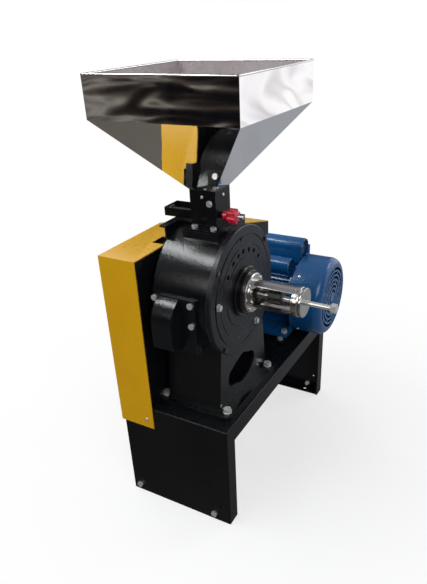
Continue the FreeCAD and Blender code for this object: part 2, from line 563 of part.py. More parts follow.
def frustum(hw0, hw1, hy0, hy1, za, zb, cy0, cy1):
    a = Part.makePolygon([V(mx - hw0, cy0 - hy0, za), V(mx + hw0, cy0 - hy0, za), V(mx + hw0, cy0 + hy0, za), V(mx - hw0, cy0 + hy0, za), V(mx - hw0, cy0 - hy0, za)])
    b = Part.makePolygon([V(mx - hw1, cy1 - hy1, zb), V(mx + hw1, cy1 - hy1, zb), V(mx + hw1, cy1 + hy1, zb), V(mx - hw1, cy1 + hy1, zb), V(mx - hw1, cy1 - hy1, zb)])
    return Part.makeLoft([a, b], True, True)


ty = (thr_y0 + thr_y1) / 2.0
t = hop_t
n_hw, n_hy = thr_hw - thr_t - 0.0, (thr_y1 - thr_y0) / 2.0 - thr_t
hz = thr_z1
o = box(mx - hop_hw, hop_cy - hop_hw, hop_z0, mx + hop_hw, hop_cy + hop_hw, hop_z1)
o = o.fuse([frustum(thr_hw, hop_hw, (thr_y1 - thr_y0) / 2.0, hop_hw, hz, hop_z0, ty, hop_cy), box(mx - n_hw, ty - n_hy, 790, mx + n_hw, ty + n_hy, hz)])
i_ = box(mx - hop_hw + t, hop_cy - hop_hw + t, hop_z0 - 0.01, mx + hop_hw - t, hop_cy + hop_hw - t, hop_z1 + 5)
i_ = i_.fuse([frustum(n_hw - t, hop_hw - t, n_hy - t, hop_hw - t, hz, hop_z0, ty, hop_cy), box(mx - n_hw + t, ty - n_hy + t, 780, mx + n_hw - t, ty + n_hy - t, hz + 0.01)])
hop = o.cut(i_).removeSplitter()
for p, d in scr_pos:
    hop = hop.cut(cyl(2.0, (p[0] - d[0] * 8, p[1] - d[1] * 8, p[2]), V(*d), 10))
out("hopper", hop)

# ---------------------------------------------------------------- belt drive
def groove_sec(r_out, yc, g):
    # trapezoid section of a belt (g = 0) or of a groove (g > 0): outer face just under the rim
    ro = r_out - 1.0 + (3.0 if g else 0.0)
    ri = r_out - 1.0 - belt_h - g
    k = (belt_top - belt_bot) / 2.0 / belt_h
    hb = belt_bot / 2.0 + g - k * g
    ht = belt_bot / 2.0 + g + k * (ro - ri - g)
    return [(ri, yc - hb), (ro, yc - ht), (ro, yc + ht), (ri, yc + hb)]


def pulley(x, z, r, bore, hub_r_, y_hub0, y_hub1, holes):
    y0, y1 = pul_y - pul_w / 2.0, pul_y + pul_w / 2.0
    if holes:
        p = lathe_y(x, z, [(bore, y_hub0), (hub_r_, y_hub0), (hub_r_, pul_y - 5), (r - 22, pul_y - 5), (r - 20, y0), (r, y0), (r, y1), (r - 20, y1), (r - 22, pul_y + 5), (hub_r_, pul_y + 5), (hub_r_, y_hub1), (bore, y_hub1)])
        for i in range(5):
            t = 2 * math.pi * i / 5 + 0.3
            rr = (hub_r_ + r - 22) / 2.0
            p = p.cut(cy(x + rr * math.cos(t), z + rr * math.sin(t), 14.0, y0, y1))
    else:
        p = ring(x, z, bore, r, y0, y1).fuse(ring(x, z, bore, hub_r_, y_hub0, y_hub1)).removeSplitter()
    for k in (-0.5, 0.5):
        p = p.cut(lathe_y(x, z, groove_sec(r, pul_y + k * belt_pitch, belt_gap)))
    return p


mp = pulley(mx, mz, mill_pul_r, tail_r + run_fit, 27.0, 228.0, 272.0, True)
mp = mp.cut(box(mx - 4.35, 220, mz + 5, mx + 4.35, 280, mz + tail_r + 3.4))
out("mill_pulley", mp)
gp_ = pulley(mot_x, mot_z, mot_pul_r, mshaft_r, 22.0, 224.0, 268.0, False)
out("motor_pulley", gp_)


def belt(yc):
    c1, c2 = V(mx, 0, mz), V(mot_x, 0, mot_z)
    dv = c2.sub(c1)
    dist = dv.Length
    a0 = math.atan2(dv.z, dv.x)
    be = math.acos((mill_pul_r - mot_pul_r) / dist)
    up, dn = a0 + be, a0 - be
    sol = []

    def sec(c, r, ang):
        u = V(math.cos(ang), 0, math.sin(ang))
        pts = [c + u * q + V(0, y, 0) for q, y in groove_sec(r, yc, 0)]
        return Part.Face(Part.makePolygon(pts + [pts[0]]))

    for c, r, st, sw in ((c1, mill_pul_r, up, 2 * math.pi - 2 * be), (c2, mot_pul_r, dn, 2 * be)):
        f = sec(c, r, st)
        sol.append(f.revolve(c, V(0, -1, 0), math.degrees(sw)))
    for ang in (up, dn):
        u = V(math.cos(ang), 0, math.sin(ang))
        p1, p2 = c1 + u * mill_pul_r, c2 + u * mot_pul_r
        sol.append(sec(c1, mill_pul_r, ang).extrude(p2.sub(p1)))
    return sol[0].multiFuse(sol[1:]).removeSplitter()


belts = [belt(pul_y + k * belt_pitch) for k in (-0.5, 0.5)]
for b in belts:
    print("belt solids", len(b.Solids), b.isValid())
out("v_belts", belts)

# ---------------------------------------------------------------- belt guard
g = grd_t


def guard_prof(i):
    # outline of the cover in the XZ plane, inset by i
    sl = (grd_z1 - grd_zf) / (grd_x1 - grd_xs)
    return sl


sl = (grd_zf - grd_z1) / (grd_x1 - grd_xs)
nl = math.sqrt(1 + sl * sl)
outer = [(grd_x0, 262.0), (grd_x0, grd_z1), (grd_xs, grd_z1), (grd_x1, grd_zf), (grd_x1, 262.0)]
inner = [(grd_x0 + g, 240.0), (grd_x0 + g, grd_z1 - g), (grd_xs - 0.0, grd_z1 - g), (grd_x1 - g, grd_zf - g * nl - sl * -g + 0.0), (grd_x1 - g, 240.0)]
gc = prism_xz(outer, grd_y0, grd_y1).cut(prism_xz(inner, grd_y0 - 5, grd_y1 - g))
gc = gc.fuse(box(grd_x0, grd_y0, grd_z0, grd_x0 + g, grd_y1, 263.0))
gc = gc.cut(box(grd_x1 - 60, grd_y0 - 5, 255, grd_x1 + 5, grd_y1 - g, 300))
gc = gc.cut(box(114, grd_y0 - 5, grd_z1 - 5, 160, 243, grd_z1 + 5))
gc = gc.cut(cyl(2.6, (grd_x0 - 2, 227.0, 260.0), X1, 8))
for gx in (120.0, 535.0):
    gc = gc.cut(cyl(2.6, (gx, grd_y1 - 8, 272.0), Y1, 12))
gc = gc.removeSplitter()
out("belt_guard", gc)
gs = [pan(2.5, (grd_x0, 227.0, 260.0), (-1, 0, 0), 6.9, 4.6, 2.6)]
for gx in (120.0, 535.0):
    gs.append(pan(2.5, (gx, grd_y1, 272.0), (0, 1, 0), 6.9, 4.6, 2.6))
out("guard_screws", [gs[0]])
bp = prism_xz([(grd_x0 + g, H), (grd_x0 + g, grd_z1 - g), (grd_xs, grd_z1 - g), (grd_x1 - g, grd_zf - g * nl + sl * g * -1), (grd_x1 - g, 300.0), (655.0, 300.0), (655.0, H)], 206.0, grd_y0)
bp = bp.cut(box(mx - 139.5, 200, H - 1, mx + 139.5, 212, H + foot_flange + 1.5))
for bx in (mx - foot_bolt_x, mx + foot_bolt_x):
    bp = bp.cut(box(bx - 13, 200, H - 1, bx + 13, 212, H + foot_flange + 14))
bp = bp.cut(cy(mx, mz, 36.0, 200, 212)).cut(cy(mot_x, mot_z, 34.0, 200, 212))
out("guard_back_plate", bp)
# angle clips that hold the cover to the rear edge of the bench
cl = []
for gx in (120.0, 535.0):
    cl.append(box(gx - 14, D, 262, gx + 14, grd_y1 - g, 282).cut(cyl(2.5, (gx, D - 1, 272.0), Y1, 12)))
out("guard_spacers", cl)
out("guard_screws", [x for x in gs[1:]])

# ---------------------------------------------------------------- motor
ax, az = mot_x, mot_z
fr = ring(ax, az, stator_r, frame_r, frame_y0, frame_y1)
fins = []
n_fin = 44
for i in range(n_fin):
    a = 360.0 * i / n_fin
    if 205 < a < 335:
        continue
    f = box(frame_r - 1.5, frame_y0 + 4, -1.3, fin_r, frame_y1 - 4, 1.3)
    f.rotate(V(0, 0, 0), V(0, 1, 0), -a)
    f.translate(V(ax, 0, az))
    fins.append(f)
fr = fr.multiFuse(fins)
# flat seat for the boxes on top
fr = fr.cut(cy(ax, az, stator_r, frame_y0 - 1, frame_y1 + 1))
fr = fr.removeSplitter()
out("motor_frame", fr)
# feet: two welded brackets on flat rails
feet = []
for sx, (hx_, ex_) in zip((-1, 1), foot_hole):
    kx = 71 if sx < 0 else 70
    pts = [(ax + ex_, H + rail_h), (ax + sx * 30, H + rail_h), (ax + sx * 26, az - 72.5), (ax + sx * 60, az - 48.0), (ax + sx * kx, H + rail_h + 10), (ax + ex_, H + rail_h + 10)]
    f = prism_xz(pts, 43.0, 162.0)
    f = f.cut(cy(ax, az, frame_r, 20, 180)).cut(cy(ax, az, 94.6, 20, frame_y0))
    f = f.cut(box(min(ax + sx * 34, ax + sx * 90), 50, H + rail_h + 10, max(ax + sx * 34, ax + sx * 90), 156, az))
    for by in (56.0, 147.0):
        c = cyl(5.0, (ax + hx_, by, H), Z1, 60)
        f = f.cut(c)
    feet.append(f)
out("motor_frame", feet)
rl = []
for a, b in rail_y:
    r_ = box(rail_x0, a, H, rail_x1, b, H + rail_h)
    for bx, by in rail_bolt:
        r_ = r_.cut(cyl(4.6, (bx, by, H - 2), Z1, 30))
    for hx_, ex_ in foot_hole:
        r_ = r_.cut(cyl(5.0, (ax + hx_, 56.0 if a < 100 else 147.0, H - 2), Z1, 30))
    rl.append(r_)
out("motor_rails", rl)
mb, mw, rb = [], [], []
for hx_, ex_ in foot_hole:
    xc = ax + hx_
    for by in (56.0, 147.0):
        mw.append(washer(5.0, 10.0, 1.8, (xc, by, H + rail_h + 10), (0, 0, 1)))
        mb.append(bolt(4.9, (xc, by, H + rail_h + 11.8), (0, 0, 1), 21.6, 16.0, 6.5, 5))
out("motor_bolts", mb)
out("motor_bolts", mw)
out("motor_bolts", [bolt(4.5, (bx, by, H + rail_h), (0, 0, 1), 22.0, 15.0, 6.0, 10) for bx, by in rail_bolt])
# drive-end and fan-end shields
de = lathe_y(ax, az, [(26.0, 174.0), (26.0, 190.0), (13.5, 190.0), (13.5, 194.0), (34.0, 194.0), (40.0, 190.0), (84.0, 183.0), (92.0, 178.0), (92.0, frame_y1), (73.0, frame_y1), (69.0, 175.0), (36.0, 180.0), (36.0, 174.0)])
out("drive_end_shield", de)
fe = lathe_y(ax, az, [(26.0, 50.0), (26.0, 34.0), (13.5, 34.0), (13.5, 30.5), (36.0, 30.5), (40.0, 34.0), (103.0, 34.0), (103.0, 26.0), (111.1, 26.0), (111.1, 37.0), (94.0, 42.0), (92.0, 46.0), (92.0, frame_y0), (73.0, frame_y0), (69.0, 49.0), (60.0, 44.0), (36.0, 44.0), (36.0, 50.0)])
out("fan_end_shield", fe)
out("motor_bearings", [ring(ax, az, mshaft_r + run_fit, 26.0, 174.5, 189.5), ring(ax, az, mshaft_r + run_fit, 26.0, 34.5, 49.5)])
out("motor_stator", ring(ax, az, 38.6, stator_r, 80.0, 146.0))
out("stator_windings", [ring(ax, az, 43.0, 63.0, 62.0, 80.0), ring(ax, az, 43.0, 63.0, 146.0, 164.0)])
# rotor
ms = lathe_y(ax, az, [(0.0, 4.0), (9.0, 4.0), (9.0, 27.0), (mshaft_r, 28.0), (mshaft_r, 54.0), (18.0, 55.0), (18.0, 168.0), (mshaft_r, 169.0), (mshaft_r, 270.0), (0.0, 270.0)])
out("motor_shaft", ms)
out("motor_rotor_core", ring(ax, az, 18.0, 38.2, 80.0, 146.0))
fan = ring(ax, az, 9.0, 20.0, 6.0, 26.0)
bl = []
for i in range(8):
    b = box(18.0, 8.0, -1.5, 92.0, 25.0, 1.5)
    b.rotate(V(0, 0, 0), V(0, 1, 0), -45.0 * i)
    b.translate(V(ax, 0, az))
    bl.append(b)
fan = fan.multiFuse(bl + [ring(ax, az, 9.0, 84.0, 24.0, 26.0)]).removeSplitter()
out("cooling_fan", fan)
# fan cover with arc-slot grille
R, y0 = fancov_r, mot_y0
arc = 22.0
e = []
q = math.sqrt(0.5)


def cover_sec(off):
    r = R - off
    yy = y0 + off
    a = arc - off
    p0, p1 = V(ax, yy, az), V(ax + r - a, yy, az)
    pm = V(ax + r - a + a * q, yy + a - a * q, az)
    p2, p3 = V(ax + r, yy + a, az), V(ax + r, fancov_y1 + (1 if off else 0), az)
    p4 = V(ax, fancov_y1 + (1 if off else 0), az)
    return Part.Face(Part.Wire([Part.makeLine(p0, p1), Part.Arc(p1, pm, p2).toShape(), Part.makeLine(p2, p3), Part.makeLine(p3, p4), Part.makeLine(p4, p0)])).revolve(V(ax, 0, az), Y1, 360)


fc = cover_sec(0).cut(cover_sec(fancov_t))
slots = []
for k, (ra, rb_) in enumerate(((16, 23), (29, 36), (42, 49), (55, 62), (68, 75), (81, 88))):
    rr = ring(ax, az, ra, rb_, y0 - 2, y0 + 4)
    rib = []
    n = 3 if k < 2 else 6
    for i in range(n):
        b = box(0, y0 - 3, -2.4, 96, y0 + 5, 2.4)
        b.rotate(V(0, 0, 0), V(0, 1, 0), -(360.0 / n * i + 30 * (k % 2)))
        b.translate(V(ax, 0, az))
        rib.append(b)
    slots.append(rr.cut(rib))
for sl_ in slots:
    fc = fc.cut(sl_)
fcs = [(math.radians(a), 18.0) for a in (45, 133, 225, 315)]
for t, yy in fcs:
    fc = fc.cut(cyl(2.2, (ax + (R - 6) * math.cos(t), yy, az + (R - 6) * math.sin(t)), V(math.cos(t), 0, math.sin(t)), 10))
fc = fc.removeSplitter()
out("fan_cover", fc)
out("motor_bolts", [pan(2.1, (ax + R * math.cos(t), yy, az + R * math.sin(t)), (math.cos(t), 0, math.sin(t)), 4.0, 4.4, 2.4) for t, yy in fcs])


# capacitor covers: half-round housings on saddles
def cap_cover(cx, cz, r, ya, yb, ang, base):
    # built upright at the origin, then leaned by ang degrees about the cover's own axis
    b = cy(0, 0, r, ya, yb).fuse(box(-r, ya, -base, r, yb, 0)).removeSplitter()
    try:
        b = b.makeFillet(7.0, [e_ for e_ in b.Edges if abs(e_.BoundBox.YMin - ya) < 1e-4 and e_.BoundBox.YLength < 1e-4 and e_.BoundBox.ZMax > r * 0.9])
    except Exception:
        pass
    c = cy(0, 0, r - 2, ya + 2, yb - 2).fuse(box(-r + 2, ya + 2, -base - 1, r - 2, yb - 2, 0)).removeSplitter()
    b = b.cut(c)
    b.rotate(V(0, 0, 0), Y1, ang)
    b.translate(V(cx, 0, cz))
    return b


c1 = (560.0, 546.0, 26.0, 34.5, 156.0, 0.0, 52.0)
c2 = (503.0, 506.0, 24.0, 53.0, 148.0, -28.0, 36.0)
cc1 = cap_cover(*c1).cut(cy(ax, az, fin_r + 0.3, 0, 200)).cut(cy(ax, az, fancov_r + 0.5, 0, fancov_y1 + 8.4))
cc2 = cap_cover(*c2).cut(cy(ax, az, fin_r + 0.3, 0, 200))
out("capacitor_cover_top", max(cc1.Solids, key=lambda q_: q_.Volume))
cc2 = max(cc2.Solids, key=lambda q_: q_.Volume).cut(max(cc1.Solids, key=lambda q_: q_.Volume))
cc2 = max(cc2.Solids, key=lambda q_: q_.Volume)
out("capacitor_cover_side", cc2)
out("motor_capacitors", cy(560.0, 546.0, 20.0, 44.0, 140.0))
out("motor_capacitors", cy(500.6, 510.9, 15.0, 62.0, 138.0))
# terminal box on the far side
tbx = box(620.0, 66.0, 448.0, 670.0, 146.0, 510.0)
tbx = tbx.cut(cy(ax, az, fin_r + 0.3, 0, 200)).cut(box(624.0, 70.0, 458.0, 671.0, 142.0, 506.0))
tbx = max(tbx.Solids, key=lambda q_: q_.Volume)
tbx = tbx.cut(cyl(10.0, (656.0, 100.0, 443.0), Z1, 20))
out("terminal_box", tbx)
out("terminal_box", box(670.0, 64.0, 446.0, 673.0, 148.0, 512.0))
gl = cyl(10.0, (656.0, 100.0, 434.0), Z1, 24.0).fuse(hexa(24.0, (656.0, 100.0, 448.0), (0, 0, -1), 12.0)).removeSplitter()
gl = gl.cut(cyl(6.0, (656.0, 100.0, 430.0), Z1, 40))
out("cable_gland", gl)

write()
xs0 = min(b.XMin for _, _, b in made)
xs1 = max(b.XMax for _, _, b in made)
ys0 = min(b.YMin for _, _, b in made)
ys1 = max(b.YMax for _, _, b in made)
zs0 = min(b.ZMin for _, _, b in made)
zs1 = max(b.ZMax for _, _, b in made)
print("nodes", len(made), "box", round(xs0, 2), round(xs1, 2), round(ys0, 2), round(ys1, 2), round(zs0, 2), round(zs1, 2))
print("centre", round((xs0 + xs1) / 2, 3), round((ys0 + ys1) / 2, 3), "offset", OX, OY)
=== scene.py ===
import bpy
import bmesh
import json
import math
from mathutils import Matrix, Vector


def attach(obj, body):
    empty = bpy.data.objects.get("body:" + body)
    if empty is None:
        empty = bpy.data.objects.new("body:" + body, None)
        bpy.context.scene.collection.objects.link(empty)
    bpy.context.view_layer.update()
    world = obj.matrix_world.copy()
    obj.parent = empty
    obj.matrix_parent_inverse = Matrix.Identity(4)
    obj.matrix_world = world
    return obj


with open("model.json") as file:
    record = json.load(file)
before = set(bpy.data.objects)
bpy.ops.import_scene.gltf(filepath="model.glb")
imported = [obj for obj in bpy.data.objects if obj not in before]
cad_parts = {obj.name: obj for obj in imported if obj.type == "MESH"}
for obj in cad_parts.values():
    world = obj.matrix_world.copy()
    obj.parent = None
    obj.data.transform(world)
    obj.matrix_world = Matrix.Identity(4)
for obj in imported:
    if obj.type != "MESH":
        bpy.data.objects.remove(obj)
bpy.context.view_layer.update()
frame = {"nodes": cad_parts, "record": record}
N = frame["nodes"]

OX, OY = -0.326, -0.0613          # bench corner in the row frame
MX, MZ = 0.173 + OX, 0.576        # mill axis
AX, AZ = 0.550 + OX, 0.410        # motor axis
HOP_X, HOP_Y = 173.0, 117.0       # hopper centre in bench coordinates


def R(x, y, z):
    """Bench coordinates in millimetres to the row frame in metres."""
    return Vector((x / 1000 + OX, y / 1000 + OY, z / 1000))


# ------------------------------------------------------------------ materials
class Mat:
    """A node-based material on one Principled shader."""

    def __init__(self, name):
        self.m = bpy.data.materials.new(name)
        self.m.use_nodes = True
        self.nt = self.m.node_tree
        self.nt.nodes.clear()
        self.out = self.nt.nodes.new("ShaderNodeOutputMaterial")
        self.b = self.nt.nodes.new("ShaderNodeBsdfPrincipled")
        self.nt.links.new(self.b.outputs[0], self.out.inputs["Surface"])
        self.tc = self.nt.nodes.new("ShaderNodeTexCoord")

    def link(self, a, b):
        self.nt.links.new(a, b)

    def node(self, kind, **kw):
        n = self.nt.nodes.new(kind)
        for k, v in kw.items():
            setattr(n, k, v)
        return n

    @property
    def obj(self):
        return self.tc.outputs["Object"]

    def mapping(self, scale=(1, 1, 1), loc=(0, 0, 0), rot=(0, 0, 0), src=None):
        n = self.node("ShaderNodeMapping")
        n.inputs["Scale"].default_value = scale
        n.inputs["Location"].default_value = loc
        n.inputs["Rotation"].default_value = rot
        self.link(src or self.obj, n.inputs["Vector"])
        return n.outputs[0]

    def noise(self, scale, detail=2.0, rough=0.5, dist=0.0, src=None):
        n = self.node("ShaderNodeTexNoise")
        n.inputs["Scale"].default_value = scale
        n.inputs["Detail"].default_value = detail
        n.inputs["Roughness"].default_value = rough
        n.inputs["Distortion"].default_value = dist
        self.link(src or self.obj, n.inputs["Vector"])
        return n.outputs["Fac"]

    def voronoi(self, scale, src=None, feature="F1"):
        n = self.node("ShaderNodeTexVoronoi", feature=feature)
        n.inputs["Scale"].default_value = scale
        self.link(src or self.obj, n.inputs["Vector"])
        return n.outputs["Distance"]

    def ramp(self, fac, stops):
        n = self.node("ShaderNodeValToRGB")
        e = n.color_ramp.elements
        while len(e) > 1:
            e.remove(e[-1])
        e[0].position, e[0].color = stops[0][0], (*stops[0][1], 1) if len(stops[0][1]) == 3 else stops[0][1]
        for p, c in stops[1:]:
            x = e.new(p)
            x.color = (*c, 1) if len(c) == 3 else c
        self.link(fac, n.inputs["Fac"])
        return n.outputs["Color"]

    def rng(self, fac, a0, a1, b0, b1, clamp=True):
        n = self.node("ShaderNodeMapRange", clamp=clamp)
        for k, v in (("From Min", a0), ("From Max", a1), ("To Min", b0), ("To Max", b1)):
            n.inputs[k].default_value = v
        self.link(fac, n.inputs["Value"])
        return n.outputs["Result"]

    def math(self, op, a, b=None, clamp=False):
        n = self.node("ShaderNodeMath", operation=op, use_clamp=clamp)
        for i, v in ((0, a), (1, b)):
            if v is None:
                continue
            if isinstance(v, (int, float)):
                n.inputs[i].default_value = v
            else:
                self.link(v, n.inputs[i])
        return n.outputs[0]

    def mix(self, fac, a, b):
        n = self.node("ShaderNodeMix", data_type="RGBA")
        if isinstance(fac, (int, float)):
            n.inputs["Factor"].default_value = fac
        else:
            self.link(fac, n.inputs["Factor"])
        for s, v in (("A", a), ("B", b)):
            i = [x for x in n.inputs if x.name == s and x.type == "RGBA"][0]
            if isinstance(v, tuple):
                i.default_value = (*v, 1)
            else:
                self.link(v, i)
        return [o for o in n.outputs if o.type == "RGBA"][0]

    def edge(self, radius=0.0015, lo=0.02, hi=0.25):
        """Bright where the surface turns over an edge."""
        bv = self.node("ShaderNodeBevel", samples=4)
        bv.inputs["Radius"].default_value = radius
        g = self.node("ShaderNodeNewGeometry")
        d = self.node("ShaderNodeVectorMath", operation="DOT_PRODUCT")
        self.link(bv.outputs[0], d.inputs[0])
        self.link(g.outputs["Normal"], d.inputs[1])
        inv = self.math("SUBTRACT", 1.0, d.outputs["Value"])
        return self.rng(inv, lo, hi, 0, 1)

    def upward(self, lo=0.3, hi=0.95):
        """One on surfaces that face up, where dust settles. Uses the piece's own axes."""
        g = self.node("ShaderNodeNewGeometry")
        s = self.node("ShaderNodeSeparateXYZ")
        self.link(g.outputs["Normal"], s.inputs[0])
        return self.rng(s.outputs["Z"], lo, hi, 0, 1)

    def bump(self, height, strength=0.2, dist=0.001, normal=None):
        n = self.node("ShaderNodeBump")
        n.inputs["Strength"].default_value = strength
        n.inputs["Distance"].default_value = dist
        self.link(height, n.inputs["Height"])
        if normal is not None:
            self.link(normal, n.inputs["Normal"])
        return n.outputs[0]

    def col(self, c):
        if isinstance(c, tuple):
            self.b.inputs["Base Color"].default_value = (*c, 1)
        else:
            self.link(c, self.b.inputs["Base Color"])

    def rough(self, v):
        if isinstance(v, (int, float)):
            self.b.inputs["Roughness"].default_value = v
        else:
            self.link(v, self.b.inputs["Roughness"])

    def normal(self, v):
        self.link(v, self.b.inputs["Normal"])

    def set(self, **kw):
        for k, v in kw.items():
            self.b.inputs[k.replace("_", " ")].default_value = v


def sheet_paint(name, base, dark, rough, peel=420.0, peel_s=0.10, dust=(0.35, 0.34, 0.32), dust_f=0.03, edge_wear_and_highlight_c=None, edge_wear_and_highlight_f=0.5, wave=0.0, coat=0.0):
    """Sprayed or powder paint on sheet metal."""
    k = Mat(name)
    big = k.noise(7.0, 3, 0.55)
    fine = k.noise(90.0, 4, 0.6)
    c = k.mix(k.rng(big, 0.35, 0.7, 0, 1), base, dark)
    if dust_f:
        dd = k.math("MULTIPLY", k.rng(fine, 0.45, 0.75, 0, 1), k.upward())
        c = k.mix(k.math("MULTIPLY", dd, dust_f), c, dust)
    # edge colour: partly rubbed paint wear, partly a painted highlight along the edges
    if edge_wear_and_highlight_c:
        e = k.math("MULTIPLY", k.edge(0.0013), k.rng(k.noise(60, 4, 0.7), 0.42, 0.62, 0, 1))
        c = k.mix(k.math("MULTIPLY", e, edge_wear_and_highlight_f), c, edge_wear_and_highlight_c)
    k.col(c)
    k.rough(k.rng(k.math("ADD", k.math("MULTIPLY", fine, 0.5), k.math("MULTIPLY", big, 0.5)), 0.3, 0.7, rough[0], rough[1]))
    nrm = k.bump(k.noise(peel, 2, 0.5), peel_s, 0.0004)
    if wave:
        nrm = k.bump(k.noise(9.0, 1, 0.4), wave, 0.004, nrm)
    k.normal(nrm)
    k.set(Coat_Weight=coat, Coat_Roughness=0.06)
    return k


def cast_paint(name, base, dark, rough, grain=330.0, grain_s=0.55, lump_s=0.35, coat=0.5, edge_wear_and_highlight_c=(0.10, 0.10, 0.10), edge_wear_and_highlight_f=0.35, spec=0.5, grain_d=0.0006, edge_gloss=0.0):
    """Thick gloss enamel over a sand casting."""
    k = Mat(name)
    big = k.noise(9.0, 3, 0.6)
    fine = k.noise(140.0, 4, 0.6)
    c = k.mix(k.rng(big, 0.35, 0.7, 0, 1), base, dark)
    # edge colour: partly rubbed paint wear, partly a painted highlight along the edges and ring grooves
    e = k.math("MULTIPLY", k.edge(0.0016), k.rng(k.noise(70, 4, 0.7), 0.40, 0.62, 0, 1))
    c = k.mix(k.math("MULTIPLY", e, edge_wear_and_highlight_f), c, edge_wear_and_highlight_c)
    dd = k.math("MULTIPLY", k.rng(fine, 0.5, 0.8, 0, 1), k.upward(0.5, 0.98))
    c = k.mix(k.math("MULTIPLY", dd, 0.05), c, (0.30, 0.30, 0.29))
    k.col(c)
    r_ = k.rng(fine, 0.3, 0.7, rough[0], rough[1])
    if edge_gloss:
        r_ = k.math("MULTIPLY", r_, k.rng(e, 0, 0.6, 1.0, 1.0 - edge_gloss))
    k.rough(r_)
    n1 = k.bump(k.noise(grain, 3, 0.62), grain_s, grain_d)
    n2 = k.bump(k.noise(45.0, 3, 0.55), lump_s, 0.0011, n1)
    k.normal(n2)
    k.set(Coat_Weight=coat, Coat_Roughness=0.12, Specular_IOR_Level=spec)
    return k


def inside_finish(k):
    """The inside of the hopper is duller than the polished outside, as grain leaves it; its pale warm tint is a
    painted reflection.
    """
    c_in = k.b.inputs["Base Color"].links[0].from_socket
    r_in = k.b.inputs["Roughness"].links[0].from_socket
    s = k.node("ShaderNodeSeparateXYZ")
    k.link(k.obj, s.inputs[0])
    ax_ = k.math("ABSOLUTE", k.math("SUBTRACT", s.outputs["X"], HOP_X / 1000 + OX))
    ay_ = k.math("ABSOLUTE", k.math("SUBTRACT", s.outputs["Y"], HOP_Y / 1000 + OY))
    far = k.math("MAXIMUM", ax_, ay_)
    walls = k.math("MULTIPLY", k.rng(far, 0.1676, 0.1682, 1, 0), k.rng(s.outputs["Z"], 0.9690, 0.9705, 0, 1))
    g = k.node("ShaderNodeNewGeometry")
    gs = k.node("ShaderNodeSeparateXYZ")
    k.link(g.outputs["Normal"], gs.inputs[0])
    slopes = k.math("MULTIPLY", k.rng(gs.outputs["Z"], 0.15, 0.30, 0, 1), k.rng(s.outputs["Z"], 1.050, 1.0525, 1, 0))
    inner = k.math("MAXIMUM", walls, slopes)
    film = k.noise(11.0, 4, 0.6)
    # painted reflection: a pale warm tint on the inner walls and slopes in place of the reflections in the polished
    # steel
    painted_reflection_tint = k.mix(k.rng(film, 0.35, 0.68, 0, 1), (0.60, 0.555, 0.575), (0.40, 0.355, 0.355))
    k.col(k.mix(inner, c_in, painted_reflection_tint))
    k.rough(k.math("ADD", r_in, k.math("MULTIPLY", inner, k.rng(film, 0.3, 0.7, 0.16, 0.30))))
    k.link(k.math("SUBTRACT", 1.0, k.math("MULTIPLY", inner, 0.62)), k.b.inputs["Metallic"])


def darker_behind_throat(k):
    """The thread is darker and rougher behind the throat; the end by the knob stays bright."""
    c_in = k.b.inputs["Base Color"].links[0].from_socket
    r_in = k.b.inputs["Roughness"].links[0].from_socket
    s = k.node("ShaderNodeSeparateXYZ")
    k.link(k.obj, s.inputs[0])
    back = k.rng(s.outputs["Y"], 0.076 + OY, 0.088 + OY, 0, 1)
    behind_mottle = k.noise(140, 4, 0.65)
    k.col(k.mix(back, c_in, k.mix(k.rng(behind_mottle, 0.35, 0.65, 0, 1), (0.016, 0.015, 0.014), (0.045, 0.038, 0.030))))
    k.rough(k.math("ADD", r_in, k.math("MULTIPLY", back, 0.30)))


def cover_paint():
    """Dark grey paint on the turned front cover, glossier and blacker on the hub."""
    # pale edge colour: painted highlight arcs on the ring grooves, with some rubbed edge wear
    k = cast_paint("cover_satin", (0.0045, 0.0053, 0.0074), (0.0080, 0.0092, 0.0122), (0.26, 0.40), grain=420, grain_s=0.25, lump_s=0.08, coat=0.0, edge_wear_and_highlight_c=(0.24, 0.25, 0.28), edge_wear_and_highlight_f=0.9, spec=0.36, edge_gloss=0.55)
    c_in = k.b.inputs["Base Color"].links[0].from_socket
    r_in = k.b.inputs["Roughness"].links[0].from_socket
    sx = k.node("ShaderNodeSeparateXYZ")
    k.link(k.obj, sx.inputs[0])
    dx = k.math("SUBTRACT", sx.outputs["X"], MX)
    dz = k.math("SUBTRACT", sx.outputs["Z"], MZ)
    r = k.math("SQRT", k.math("ADD", k.math("MULTIPLY", dx, dx), k.math("MULTIPLY", dz, dz)))
    hub = k.rng(r, 0.0600, 0.0610, 1, 0)
    # fine turning lines round the axis
    lines = k.math("SINE", k.math("MULTIPLY", r, 9000.0))
    k.col(k.mix(hub, c_in, (0.0045, 0.0046, 0.0050)))
    k.rough(k.math("MULTIPLY", r_in, k.rng(hub, 0, 1, 1.0, 0.55)))
    nrm = k.bump(lines, 0.05, 0.0002, k.b.inputs["Normal"].links[0].from_socket)
    k.normal(nrm)
    return k


def metal(name, base, dark, rough, brush=(1, 1, 1), brush_f=0.35, scratch=0.15, aniso=0.0, spot=None, bump_s=0.06, wave=0.0, wave_scale=6.0):
    """Bare or plated metal with a brushed or turned lay."""
    k = Mat(name)
    k.set(Metallic=1.0)
    lay = k.noise(60.0, 5, 0.65, src=k.mapping(scale=brush))
    soft = k.noise(16.0, 3, 0.5)
    c = k.mix(k.rng(lay, 0.3, 0.7, 0, brush_f), base, dark)
    c = k.mix(k.math("MULTIPLY", k.rng(soft, 0.5, 0.8, 0, 1), 0.35), c, dark)
    if spot:
        sp = k.rng(k.noise(55, 5, 0.75), 0.62, 0.72, 0, 1)
        c = k.mix(k.math("MULTIPLY", sp, 0.5), c, spot)
    k.col(c)
    k.rough(k.rng(k.math("ADD", k.math("MULTIPLY", lay, 0.6), k.math("MULTIPLY", soft, 0.4)), 0.3, 0.7, rough[0], rough[1]))
    nrm = k.bump(lay, bump_s, 0.0003)
    if wave:
        nrm = k.bump(k.noise(wave_scale, 2, 0.45), wave, 0.01, nrm)
    k.normal(nrm)
    if aniso:
        k.set(Anisotropic=aniso)
    return k


